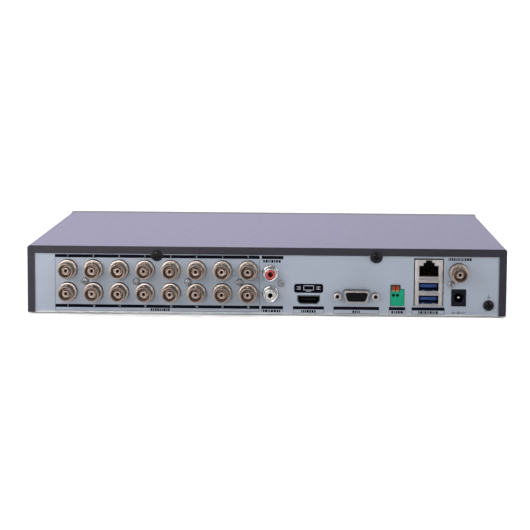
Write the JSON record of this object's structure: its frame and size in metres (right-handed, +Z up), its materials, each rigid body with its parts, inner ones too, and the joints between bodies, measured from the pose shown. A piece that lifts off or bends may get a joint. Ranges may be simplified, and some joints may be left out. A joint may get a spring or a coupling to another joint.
{
  "type": "digital video recorder",
  "caption": "Flat rectangular steel recorder case with camera, audio, display, network, USB and power sockets on its rear panel and a hard disk inside.",
  "frame": {"origin": "middle of the overall footprint, on the underside of the rubber feet", "axes": "+X towards the first video socket column, the right-hand end seen from the bezel; +Y towards the rear panel with its sockets; +Z up"},
  "size_m": [0.315, 0.242, 0.0456],
  "materials": {
    "tray_steel": "galvanised sheet, satin",
    "panel_paint": "light blue-grey paint, satin",
    "cover_paint": "fine textured dark paint, satin",
    "bezel_plastic": "moulded black, satin",
    "foot_rubber": "matt",
    "black_screws": "black oxide",
    "steel_screws": "zinc plated",
    "socket_block": "moulded black",
    "socket_nickel": "warm nickel plate",
    "socket_insulator": "cream moulding",
    "contact_gold": "gold plate",
    "bright_nickel": "bright plate",
    "audio_red": "gloss",
    "audio_white": "gloss",
    "display_black": "moulded black",
    "display_shell": "plated shell",
    "terminal_green": "moulded green",
    "terminal_orange": "moulded orange",
    "shield_tin": "tin plate",
    "usb_blue": "moulded blue",
    "board_green": "solder mask",
    "sink_aluminium": "anodised",
    "chip_black": "moulded black",
    "capacitor_can": "plain can",
    "battery_steel": "satin",
    "header_ivory": "moulded ivory",
    "light_clear": "clear moulding",
    "fan_black": "moulded black",
    "disk_casting": "die cast",
    "disk_lid": "satin stainless",
    "platter_mirror": "polished",
    "arm_aluminium": "plain",
    "cable_red": "jacket",
    "cable_mixed": "jackets",
    "cable_grey": "ribbon"
  },
  "bodies": {
    "chassis": {"base_tray": "tray_steel", "rear_panel": "panel_paint", "front_bezel": "bezel_plastic", "rubber_feet": "foot_rubber", "ground_screw": "black_screws", "board_standoffs": "contact_gold", "bnc_block_1": "socket_block", "bnc_block_2": "socket_block", "bnc_block_3": "socket_block", "bnc_block_4": "socket_block", "bnc_shells": "socket_nickel", "bnc_insulators": "socket_insulator", "bnc_contacts": "contact_gold", "connector_screws": "steel_screws", "video_out_housing": "socket_block", "audio_housing": "socket_block", "audio_shells": "bright_nickel", "audio_in_insert": "audio_red", "audio_out_insert": "audio_white", "audio_contacts": "bright_nickel", "hdmi_shell": "display_shell", "hdmi_tongue": "display_black", "vga_shell": "shield_tin", "vga_insert": "display_black", "vga_hex_posts": "shield_tin", "terminal_housing": "terminal_green", "network_usb_shield": "shield_tin", "network_usb_insert": "display_black", "usb_tongues": "usb_blue", "power_jack_housing": "display_black", "power_jack_pin": "bright_nickel", "mainboard": "board_green", "heat_sink": "sink_aluminium", "board_chips": "chip_black", "board_capacitors": "capacitor_can", "backup_battery": "battery_steel", "board_headers": "header_ivory", "board_screws": "steel_screws", "indicator_board": "board_green", "status_light_pipes": "light_clear", "front_usb_shell": "bright_nickel", "front_usb_tongue": "display_black", "fan_frame": "fan_black", "fan_screws": "steel_screws", "hdd_base": "disk_casting", "hdd_lid": "disk_lid", "hdd_circuit_board": "board_green", "hdd_screws": "steel_screws", "disk_data_cable": "cable_red", "disk_power_cable": "cable_mixed", "front_panel_cable": "cable_grey"},
    "cover": {"top_cover": "cover_paint", "cover_screws": "black_screws"},
    "lever_1": {"terminal_lever_1": "terminal_orange"},
    "lever_2": {"terminal_lever_2": "terminal_orange"},
    "rotor": {"fan_rotor": "fan_black"},
    "platters": {"hdd_platters": "platter_mirror"},
    "actuator": {"hdd_actuator": "arm_aluminium"}
  },
  "joints": [
    {"name": "cover_slide", "type": "slide", "parent": "chassis", "child": "cover", "axis": [0, 1, 0], "range_m": [0, 0.2]},
    {"name": "lever_1_push", "type": "slide", "parent": "chassis", "child": "lever_1", "axis": [0, -1, 0], "range_m": [0, 0.0012], "stiffness_N_per_m": 1500},
    {"name": "lever_2_push", "type": "slide", "parent": "chassis", "child": "lever_2", "axis": [0, -1, 0], "range_m": [0, 0.0012], "stiffness_N_per_m": 1500},
    {"name": "fan_spin", "type": "hinge", "parent": "chassis", "child": "rotor", "pos_m": [-0.1553, -0.045, 0.0224], "axis": [1, 0, 0], "continuous": true},
    {"name": "platter_spin", "type": "hinge", "parent": "chassis", "child": "platters", "pos_m": [-0.027, -0.0547, 0.0042], "axis": [0, 0, 1], "continuous": true},
    {"name": "disk_arm_swing", "type": "hinge", "parent": "chassis", "child": "actuator", "pos_m": [0.028, -0.0767, 0.0042], "axis": [0, 0, 1], "range_deg": [0, 30]}
  ]
}
